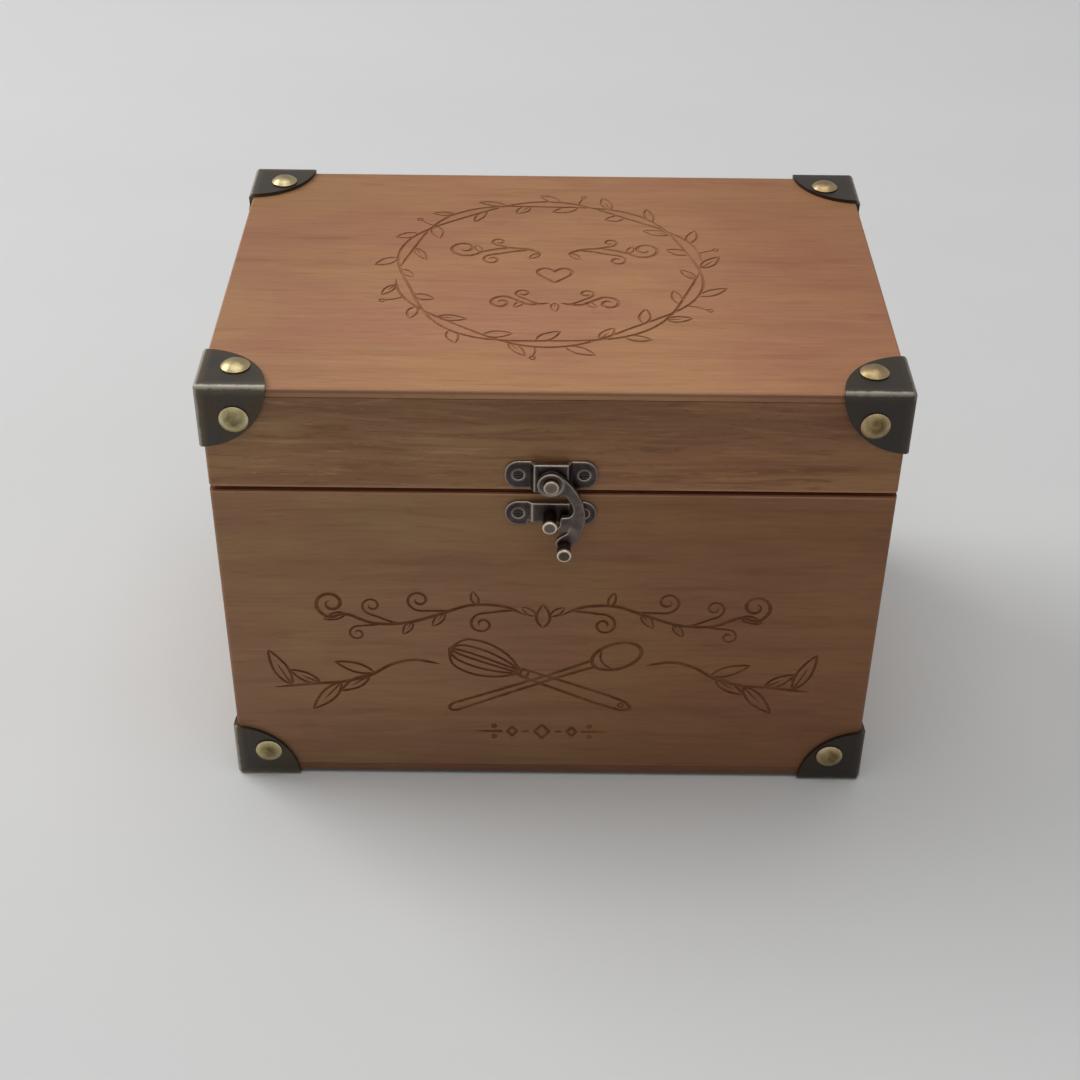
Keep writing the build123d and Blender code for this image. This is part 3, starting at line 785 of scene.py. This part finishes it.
def antique_bronze(name, sheet_box):
    """Blackened bronze sheet, worn bare and painted bright along its bends, which are the edges of
    sheet_box.
    """
    g = Graph(name)
    low, high = (Vector(c) / MM for c in sheet_box)
    centre, half = (low + high) / 2, (high - low) / 2
    from_middle = g.vector("ABSOLUTE", g.vector("SUBTRACT", g.place, tuple(centre)))
    a, b, c = g.split(g.vector("SUBTRACT", tuple(half), from_middle))
    # The distance to the nearest edge of the box is the middle one of those to its three faces.
    to_edge = g.math("MAXIMUM", g.math("MINIMUM", a, b), g.math("MINIMUM", g.math("MAXIMUM", a, b), c))
    cloud, fine = g.noise(g.place, 0.07, 3, 0.55, 0.8), g.noise(g.place, 2.4, 4, 0.7, 0.3)
    ragged = g.noise(g.place, 0.35, 4, 0.65, 0.6)
    tone = g.mix(g.ramp(cloud, 0.34, 0.66), BRONZE["cool"], BRONZE["warm"])
    tone = g.mix(g.ramp(fine, 0.45, 0.75, 0, 0.35), tone, BRONZE["speck"])
    near = g.plus(to_edge, g.times(g.minus(ragged, 0.5), 1.3))
    level_bend = g.ramp(g.math("MINIMUM", c, g.gap(c, 2 * half.z)), 3.2, 1.2, 0, 1)
    side = g.split(g.place)[0], LEFT, RIGHT
    # Wear and painted highlight on the bends: more on the left, where the light falls, and less on the
    # right.
    upright_wear, level_wear = g.ramp(*side, 0.4, 0.05), g.ramp(*side, 0.42, 0.3)
    rubbed = g.plus(upright_wear, g.times(level_bend, g.minus(level_wear, upright_wear)))
    wear = g.times(g.ramp(near, 1.4, 0.5), rubbed)
    # Painted highlight: a soft glow beside the bends, strongest on the left.
    halo = g.times(g.ramp(near, 3.6, 0.9, 0, 0.22), g.ramp(*side, 1, 0.3))
    # Painted shade: the sheet darkens towards the right.
    tone = g.mix(g.ramp(*side, 0, 0.35), tone, BRONZE["right"])
    tone = g.mix(halo, tone, BRONZE["halo"])
    tone = g.mix(wear, tone, BRONZE["bare"])
    rough = g.plus(g.ramp(cloud, 0.3, 0.7, 0.36, 0.5), g.times(fine, 0.1))
    height = g.plus(g.times(fine, 0.35), g.times(ragged, 0.65))
    return g.finish(Base_Color=tone, Metallic=0.85, Roughness=rough, Normal=g.bump(height, 0.05))


def brass(name):
    """Aged brass, warm and dull, with a painted dark olive reflection on the nails' crowns, and faint
    dents.
    """
    g = Graph(name)
    cloud, fine = g.noise(g.place, 0.22, 3, 0.6, 0.8), g.noise(g.place, 1.6, 3, 0.6, 0.2)
    patchy = g.noise(g.place, 0.3, 2, 0.5, 0.3)
    tone = g.mix(g.ramp(cloud, 0.32, 0.68), BRASS["light"], BRASS["deep"])
    tone = g.mix(g.ramp(fine, 0.5, 0.78, 0, 0.35), tone, BRASS["speck"])
    # Painted dark reflection on the nails' crowns, less on the lid's top.
    dirt = g.times(g.attribute("grime"), g.ramp(patchy, 0.3, 0.6, 0.6, 0.95))
    tone = g.mix(dirt, tone, BRASS["grime"])
    across, _, level = g.split(g.place)
    # Painted light and shade: the nails are lighter on the left, and darker on the right and on the lid's
    # top.
    tone = g.tinted(tone, across, LEFT, RIGHT, BRASS_LEFT, BRASS_RIGHT)
    tone = g.tinted(tone, level, TOP_LEVEL, TOP_LEVEL + 1, (1, 1, 1), BRASS_ON_TOP)
    rough = g.plus(g.ramp(cloud, 0.3, 0.7, 0.32, 0.42), g.times(dirt, 0.15))
    return g.finish(Base_Color=tone, Metallic=0.92, Roughness=rough, Normal=g.bump(fine, 0.02))


def patinated(name, dark, mid, bare, wear_radius=None):
    """Cast or pressed metal with a dark finish, rubbed bright where its edges turn, with painted shade in
    its crevices.

    The wear follows the piece's worn attribute, which also holds painted highlight, or with a radius how
    sharply its surface turns."""
    g = Graph(name)
    dark, mid, bare = (srgb(*colour) for colour in (dark, mid, bare))
    cloud, fine = g.noise(g.place, 0.16, 3, 0.6, 0.7), g.noise(g.place, 1.9, 4, 0.65, 0.3)
    tone = g.mix(g.ramp(cloud, 0.34, 0.66), dark, mid)
    tone = g.mix(g.ramp(fine, 0.5, 0.8, 0, 0.4), tone, dark)
    # Painted shade: darker in crevices and recesses, found by ambient occlusion.
    open_air = g.add("ShaderNodeAmbientOcclusion", {"Distance": 3 * MM}, samples=6).outputs["AO"]
    tone = g.mix(g.ramp(open_air, 0.95, 0.45, 0, 0.75), tone, CREVICE)
    if wear_radius:
        rounded = g.add("ShaderNodeBevel", {"Radius": wear_radius * MM}, samples=6).outputs[0]
        true_normal = g.add("ShaderNodeNewGeometry").outputs["Normal"]
        edge = g.ramp(g.vector("DOT_PRODUCT", rounded, true_normal), 0.992, 0.9)
    else:
        edge = g.attribute("worn")
    # Wear on the edges, with painted highlight where it comes from the worn attribute.
    tone = g.mix(g.times(edge, g.ramp(fine, 0.25, 0.6, 0.65, 1.0)), tone, bare)
    rough = g.plus(g.ramp(cloud, 0.3, 0.7, 0.27, 0.38), g.times(fine, 0.08))
    return g.finish(Base_Color=tone, Metallic=0.9, Roughness=rough, Normal=g.bump(fine, 0.02))


# --- pieces ---

FRONT_GRAIN, LID_GRAIN, TOP_GRAIN = (0, 0, 0), (3.7, 1.3, 5.1), (1.9, 4.4, 0.3)
# The drifts are painted light and shade: darker to the right on every board, the lid's front darker towards
# its top, the top lighter towards the front as a painted sheen and darker at its ends, and the bottom panel
# darkened throughout.
base_wood = wood("base", "x", 0.62, FRONT_GRAIN, [
    ("x", -60, 60, (0.83, 0.88, 0.9), (0.68, 0.6, 0.55)),
])
lid_wood = wood("lid", "x", 1.5, LID_GRAIN, [
    ("x", -65, 70, (0.92, 0.98, 1.0), (0.8, 0.75, 0.72)),
    ("z", SEAM_LEVEL + 3, PANEL_LEVEL - 3, (1.08, 1.08, 1.08), (0.84, 0.84, 0.84)),
])
top_wood = wood("top", "x", 0.6, TOP_GRAIN, [
    ("y", -60, 60, (1.03, 1.01, 1.11), (0.86, 0.81, 0.81)),
    ("side", 30, 95, (1.02, 1.02, 1.02), (0.9, 0.91, 0.91)),
    ("x", 20, 90, (1, 1, 1), (0.95, 0.875, 0.845)),
])
floor_wood = wood("floor", "x", 0.8, (5.5, 3.3, 7.7), [
    ("x", -100, 100, (0.55, 0.51, 0.5), (0.51, 0.455, 0.45)),
])
base_side_wood = wood("base_side", "y", 0.8, (6.2, 2.8, 1.1))
lid_side_wood = wood("lid_side", "y", 1.2, (8.1, 5.8, 3.9))
corners = [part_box(name) for name in nodes if name.endswith("_corner")]
sheet_low = Vector([min(low[k] for low, _ in corners) for k in range(3)])
sheet_high = Vector([max(high[k] for _, high in corners) for k in range(3)])
sheet_bronze = antique_bronze("antique_bronze_sheet", (sheet_low, sheet_high))
nail_brass = brass("aged_brass")
latch_bronze = patinated("latch_bronze", (54, 45, 43), (80, 69, 66), (236, 222, 210))
arm_bronze = patinated("arm_bronze", (70, 59, 57), (102, 89, 85), (226, 212, 200))
latch_pins = patinated("latch_pins", (58, 43, 36), (96, 76, 66), (255, 238, 220))
latch_screws = patinated("latch_screws", (46, 40, 38), (66, 58, 54), (130, 118, 108), 0.2)
hinge_bronze = patinated("hinge_bronze", (84, 76, 62), (110, 99, 80), (214, 196, 160), 0.45)
scorched_front = burnt("scorched_front", "x", FRONT_GRAIN, srgb(128, 82, 52), srgb(98, 60, 36), 0.62)
scorched_top = burnt("scorched_top", "x", TOP_GRAIN, srgb(158, 110, 76), srgb(126, 82, 53), 0.35)

# The finish of each node, by how its name starts; the first that fits counts.
FINISHES = (
    (base_wood, "base_front_board base_back_board"),
    (floor_wood, "base_bottom_panel"),
    (base_side_wood, "base_left_board base_right_board"),
    (lid_wood, "lid_front_rail lid_back_rail"),
    (top_wood, "lid_top_panel"),
    (lid_side_wood, "lid_left_rail lid_right_rail"),
    (latch_pins, "latch_catch_stud latch_arm_knob latch_pivot_rivet"),
    (latch_screws, "latch_lid_screws latch_catch_screws"),
    (latch_bronze, "latch"),
    (hinge_bronze, "hinge"),
    (nail_brass, "base_corner_nails lid_corner_nails"),
    (sheet_bronze, "base_ lid_"),
)


def dress(piece, *materials):
    slots = piece.data.materials
    for index, material in enumerate(materials):
        if index == len(slots):
            slots.append(None)
        slots[index] = material


for name, piece in nodes.items():
    dress(piece, next(finish for finish, starts in FINISHES if name.startswith(tuple(starts.split()))))

front = engraved("engraved_front_board", "base_front_board", (0, -1, 0), front_strokes())
dress(front, base_wood, scorched_front)
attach(front, "base")
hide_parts("base_front_board")

top = engraved("engraved_top_panel", "lid_top_panel", (0, 0, 1), lid_strokes())
dress(top, top_wood, scorched_top)
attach(top, "lid")
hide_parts("lid_top_panel")


def islands(mesh):
    """The separate shells of a mesh, each as an array of its corners, in a fixed order."""
    shape = merged_shape(mesh)
    left, found = set(shape.verts), []
    while left:
        stack, members = [left.pop()], []
        while stack:
            v = stack.pop()
            members.append(tuple(v.co))
            for other in (e.other_vert(v) for e in v.link_edges):
                if other in left:
                    left.discard(other)
                    stack.append(other)
        found.append(np.array(members))
    shape.free()
    return sorted(found, key=lambda corners: tuple((corners.min(0) + corners.max(0)).round(5)))


NAIL_RINGS, NAIL_AROUND = 9, 36  # rings from the crown to the brim, and vertices in each
LUMP, HOLLOW = 0.045 * MM, 0.1 * MM  # how deep the hammer's marks are, and the nail's one dent
DENT_OFFSET, DENT_SIZE = 0.4, 0.35  # the dent's distance from the middle and its size, in radii
CROWN_SHIFT = (0.04, 0.16)  # where the painted dark reflection's middle lies, in radii
GRIME_REACH, GRIME_FALL = 1.15, 2.4
TOP_GRIME = 0.42  # the nails on the lid's top get less of the painted dark reflection than the others


def nail(shape, grime, corners, middle, dice):
    """One domed nail, its head a little hammered."""
    low, high = corners.min(0), corners.max(0)
    size, centre = high - low, (low + high) / 2
    axis = int(np.argmin([abs(size[k - 2] - size[k - 1]) for k in range(3)]))
    across = [k for k in range(3) if k != axis]
    out = 1 if centre[axis] > middle[axis] else -1
    tip, end = (high[axis], low[axis]) if out > 0 else (low[axis], high[axis])
    reach = np.linalg.norm(corners[:, across] - centre[across], axis=1)
    below = np.abs(corners[:, axis] - tip)
    radius = size[across[0]] / 2
    height = below[reach > 0.97 * radius].min()
    shank = reach[below > height + 0.5 * MM].max()
    sphere = (radius**2 + height**2) / (2 * height)
    angle, far = dice.uniform(0, 2 * pi), DENT_OFFSET * radius
    dent = (far * cos(angle), far * sin(angle))
    waves = [dice.uniform(0, 2 * pi) for _ in range(2)]

    def corner(u, v, rise):
        """A vertex of the nail, with more painted dark reflection the nearer it is to the crown."""
        lump = LUMP * (sin(1500 * u + waves[0]) * sin(1300 * v + waves[1]) - 1)
        hollow = HOLLOW * exp(-((u - dent[0]) ** 2 + (v - dent[1]) ** 2) / (DENT_SIZE * radius) ** 2)
        rise += (lump - hollow) * max(0, min(1, 3 * rise / height))
        spot = np.zeros(3)
        spot[across] = centre[across] + (u, v)
        spot[axis] = tip - out * (height - rise)
        made = shape.verts.new(spot)
        from_crown = hypot(u - CROWN_SHIFT[0] * radius, v - CROWN_SHIFT[1] * radius)
        share = GRIME_REACH * min(1, from_crown / radius)
        made[grime] = (TOP_GRIME if axis == 2 else 1) * max(0, 1 - share**GRIME_FALL)
        return made

    def circle(r, rise):
        turns = [2 * pi * k / NAIL_AROUND for k in range(NAIL_AROUND)]
        return [corner(r * cos(a), r * sin(a), rise) for a in turns]

    crown, rows = corner(0, 0, height), []
    for k in range(1, NAIL_RINGS + 1):
        lean = asin(radius / sphere) * k / NAIL_RINGS
        rows.append(circle(sphere * sin(lean), height - sphere + sphere * cos(lean)))
    rows += [circle(shank, 0), circle(shank, height - abs(tip - end))]
    for k in range(NAIL_AROUND):
        n = (k + 1) % NAIL_AROUND
        shape.faces.new((crown, rows[0][k], rows[0][n]))
        for upper, lower in zip(rows, rows[1:]):
            shape.faces.new((upper[k], lower[k], lower[n], upper[n]))
    shape.faces.new(rows[-1])


def nails(name, node, dice):
    """New nails in place of a node's CAD nails, as one object."""
    shape = bmesh.new()
    grime = shape.verts.layers.float.new("grime")
    middle = sum(map(np.array, cad_box)) / 2
    for corners in islands(nodes[node].data):
        nail(shape, grime, corners, middle, dice)
    bmesh.ops.recalc_face_normals(shape, faces=shape.faces)
    mesh = bpy.data.meshes.new(name)
    shape.to_mesh(mesh)
    shape.free()
    mesh.shade_smooth()
    mesh.set_sharp_from_angle(angle=NAIL_CREASE)
    return new_object(name, mesh)


for body in ("base", "lid"):
    heads = nails(f"{body}_domed_nails", f"{body}_corner_nails", random.Random(11))
    dress(heads, nail_brass)
    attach(heads, body)
    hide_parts(f"{body}_corner_nails")


ARRIS = radians(35)  # an edge that turns by more than this gets worn and painted bright
WEAR_STEP = 0.15  # millimetres between the points along such an edge
WORN_REACH = 0.36  # how far from an arris the wear and painted highlight reach, in millimetres
# How worn and painted bright an arris is: at least, where it faces forward, and how much more up or to the
# left, where the light falls.
RUB_LEAST, RUB_FORWARD, RUB_UP, RUB_LEFT = 0.06, 0.36, 0.85, 0.55
HEAD_DEPTH = 0.5  # the end of a piece, in millimetres from its foremost point
PIN_HEAD, PIN_SPREAD = 1.4, 0.1  # how long a pin's end is, in millimetres, and its growth in width
RIM_START, RIM_SLOPE = 0.66, 4  # where a pin's rim starts, as a share of its radius, and how fast
END_FALL = 2.2  # how fast the wear and painted highlight come in towards a pin's end
VOXEL = 0.13  # millimetres
TUMBLE = 0.5  # how far each smoothing moves a vertex towards its neighbours' middle


def worn_edges(mesh):
    """Points along the sharp outward edges of a mesh, in a tree to search."""
    shape = merged_shape(mesh)
    spots = []
    for e in shape.edges:
        if len(e.link_faces) == 2 and e.is_convex and e.calc_face_angle() > ARRIS:
            start, end = (v.co for v in e.verts)
            count = max(1, round((end - start).length / (WEAR_STEP * MM)))
            spots += [start.lerp(end, (k + 0.5) / count) for k in range(count)]
    shape.free()
    tree = KDTree(len(spots))
    for index, spot in enumerate(spots):
        tree.insert(spot, index)
    tree.balance()
    return tree


def tumbled(piece, passes, kept):
    """The piece's mesh with rounded edges and a share of its faces."""
    piece.modifiers.new("skin", "REMESH").voxel_size = VOXEL * MM
    tumble = piece.modifiers.new("tumble", "SMOOTH")
    tumble.factor, tumble.iterations = TUMBLE, passes
    piece.modifiers.new("thin", "DECIMATE").ratio = kept
    mesh = bpy.data.meshes.new_from_object(piece.evaluated_get(bpy.context.evaluated_depsgraph_get()))
    piece.modifiers.clear()
    return mesh


def cast(node, body, material, passes, kept, end_wear=None):
    """A metal node with its edges tumbled round; its worn attribute, wear and painted highlight, is 1 on
    the arrises.

    With end_wear it is a pin: its end is spread a little, and worn and painted bright so much at middle and
    rim."""
    tree = worn_edges(nodes[node].data)
    piece = new_object(f"{node}_cast", nodes[node].data.copy())
    mesh = piece.data = tumbled(piece, passes, kept)
    worn = mesh.attributes.new("worn", "FLOAT", "POINT")
    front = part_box(node)[0].y
    head = [v.co for v in mesh.vertices if v.co.y < front + HEAD_DEPTH * MM]
    tip = Vector([(min(co[k] for co in head) + max(co[k] for co in head)) / 2 for k in range(3)])
    radius = (max(co.x for co in head) - min(co.x for co in head)) / 2
    for v, value in zip(mesh.vertices, worn.data):
        if end_wear:
            end = max(0, 1 - (v.co.y - front) / (PIN_HEAD * MM))
            away = v.co - tip
            rim = min(1, max(0, RIM_SLOPE * (hypot(away.x, away.z) / radius - RIM_START)))
            # Wear and painted highlight on the pin's end, brightest at its rim.
            value.value = (end_wear[0] + (end_wear[1] - end_wear[0]) * rim) * min(1, END_FALL * end)
            v.co += Vector((away.x, 0, away.z)) * PIN_SPREAD * end
        else:
            # Wear and painted highlight: arrises facing up and to the left, where the light falls, are
            # brighter.
            rub = RUB_FORWARD + RUB_UP * v.normal.z - RUB_LEFT * v.normal.x
            distance = tree.find(v.co)[2] / (WORN_REACH * MM)
            value.value = max(RUB_LEAST, min(1, rub)) * exp(-(distance**2))
    mesh.shade_smooth()
    dress(piece, material)
    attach(piece, body)
    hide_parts(node)


for row in (
    ("latch_lid_plate", "lid", latch_bronze, 7, 0.4),
    ("latch_catch_plate", "base", latch_bronze, 7, 0.4),
    ("latch_arm", "latch_arm", arm_bronze, 8, 0.4),
    ("latch_arm_knob", "latch_arm", latch_pins, 3, 1.0, (0.05, 1.0)),
    ("latch_catch_stud", "base", latch_pins, 3, 1.0, (0.12, 1.0)),
    ("latch_pivot_rivet", "lid", latch_pins, 3, 1.0, (0.1, 0.62)),
):
    cast(*row)


# --- floor, light and camera ---

FLOOR_HALF = 2.6  # metres
FLOOR_FADE = (900, 2300)  # where the floor passes into the backdrop's glow, in millimetres
BACKDROP, BACKDROP_LEVEL = (1.0, 0.985, 0.975, 1), 0.58

floor_mesh = bpy.data.meshes.new("floor")
floor_corners = [(FLOOR_HALF * x, FLOOR_HALF * y, 0) for x, y in ((-1, -1), (1, -1), (1, 1), (-1, 1))]
floor_mesh.from_pydata(floor_corners, [], [(0, 1, 2, 3)])
floor = new_object("floor", floor_mesh)
paper = Graph("pale_floor")
mottle = paper.noise(paper.place, (0.004, 0.012, 0.01), 3, 0.5)
pale = paper.mix(mottle, srgb(214, 216, 217), srgb(220, 222, 222))
dress(floor, paper.finish(Base_Color=pale, Roughness=0.6, Specular_IOR_Level=0.3))

glow = paper.add("ShaderNodeEmission", {"Color": BACKDROP, "Strength": BACKDROP_LEVEL}).outputs[0]
far = paper.ramp(paper.vector("LENGTH", paper.place), *FLOOR_FADE)
share = paper.times(far, paper.looked_at())
blend = paper.add("ShaderNodeMixShader", {0: share, 1: paper.shader.outputs[0], 2: glow})
paper.feed(paper.tree.nodes["Material Output"].inputs["Surface"], blend.outputs[0])


def soft_light(name, place, target, size, power, colour):
    """A lamp sized in metres, of so many watts, turned to a target."""
    light = bpy.data.lights.new(name, "AREA")
    light.shape, light.size, light.size_y = "RECTANGLE", *size
    light.energy, light.color = power, colour
    lamp = new_object(name, light)
    lamp.location = place
    lamp.rotation_euler = (Vector(target) - Vector(place)).to_track_quat("-Z", "Y").to_euler()


soft_light("window", (-1.7, 0.75, 1.55), (0, 0, 0.1), (1.5, 1.3), 27.3, (1.0, 0.99, 0.975))
soft_light("ceiling", (0.0, 0.0, 2.4), (0, 0, 0), (1.8, 1.8), 19.1, (1.0, 0.99, 0.985))
soft_light("card", (0.1, -1.6, 1.9), (0, 0, 0.1), (1.3, 0.5), 1.7, (1.0, 0.98, 0.95))

# The room lights the object more from above; the camera and reflections see the plain backdrop.
LOW_SKY, HIGH_SKY, LOW_LEVEL, HIGH_LEVEL = -0.1, 0.8, 0.1, 0.34
world = bpy.context.scene.world = bpy.data.worlds.new("room")
room = Nodes(world)
height = room.split(room.add("ShaderNodeTexCoord").outputs["Generated"])["Z"]
level = room.ramp(height, LOW_SKY, HIGH_SKY, LOW_LEVEL, HIGH_LEVEL, "LINEAR")
strength = room.add("ShaderNodeMix", {"Factor": room.looked_at(), "A": level, "B": BACKDROP_LEVEL})
background = room.tree.nodes["Background"].inputs
room.feed(background["Color"], BACKDROP)
room.feed(background["Strength"], strength.outputs["Result"])

LENS, SENSOR = 60.99, 36
CAMERA_PLACE = Vector((-4.41, -500.65, 418.05)) * MM
PITCH, YAW, ROLL = radians(36.59), radians(0.0875), radians(0.654)
optics = bpy.data.cameras.new("camera")
optics.lens, optics.sensor_width = LENS, SENSOR
optics.clip_start, optics.clip_end = 0.01, 20
camera = new_object("camera", optics)
ahead = Vector((sin(YAW) * cos(PITCH), cos(YAW) * cos(PITCH), -sin(PITCH)))
level_right = Vector((cos(YAW), -sin(YAW), 0))
level_up = level_right.cross(ahead)
right = cos(ROLL) * level_right + sin(ROLL) * level_up
up = cos(ROLL) * level_up - sin(ROLL) * level_right
turn = Matrix((right, up, -ahead)).transposed().to_4x4()
camera.matrix_world = Matrix.Translation(CAMERA_PLACE) @ turn
bpy.context.scene.camera = camera
bpy.context.scene.view_settings.view_transform = "Standard"
